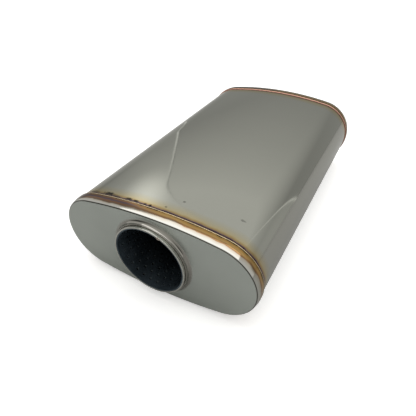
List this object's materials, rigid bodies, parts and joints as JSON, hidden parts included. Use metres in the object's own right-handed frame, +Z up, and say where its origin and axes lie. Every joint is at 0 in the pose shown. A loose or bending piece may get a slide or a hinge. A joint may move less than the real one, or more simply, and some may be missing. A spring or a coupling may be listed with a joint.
{
  "type": "performance muffler",
  "caption": "Straight-through exhaust muffler: oval case with pressed, welded end caps, short necks on its axis and a perforated core tube packed with fibre.",
  "frame": {"origin": "middle of the case, on the axis of the core tube", "axes": "+X across the case's width, +Y along the gas flow from inlet to outlet, +Z up through the case's broad top"},
  "size_m": [0.2266, 0.3756, 0.1026],
  "materials": {
    "polished_stainless": "polished stainless sheet, slightly satin, with faint heat tint at its ends",
    "pressed_stainless": "pressed stainless sheet, mill-bright face and polished edge",
    "tinted_weld": "rippled weld bead with gold, brown and purple heat tint",
    "weld_bead": "plain weld metal, dull grey",
    "bright_tube": "bright drawn stainless tube",
    "dark_core": "perforated stainless tube, dark inside",
    "steel_wool": "matted stainless wool",
    "glass_fibre": "needled glass fibre"
  },
  "bodies": {
    "root": {"outer_shell": "polished_stainless", "shell_seam_weld": "weld_bead", "inlet_end_cap": "pressed_stainless", "outlet_end_cap": "pressed_stainless", "inlet_rim_weld": "tinted_weld", "outlet_rim_weld": "tinted_weld", "inlet_neck": "bright_tube", "outlet_neck": "bright_tube", "inlet_neck_weld": "weld_bead", "outlet_neck_weld": "weld_bead", "core_tube": "dark_core", "inlet_core_tack": "weld_bead", "outlet_core_tack": "weld_bead", "steel_wool_sleeve": "steel_wool", "glass_mat_wrap": "glass_fibre", "left_packing": "glass_fibre", "right_packing": "glass_fibre"}
  },
  "joints": []
}
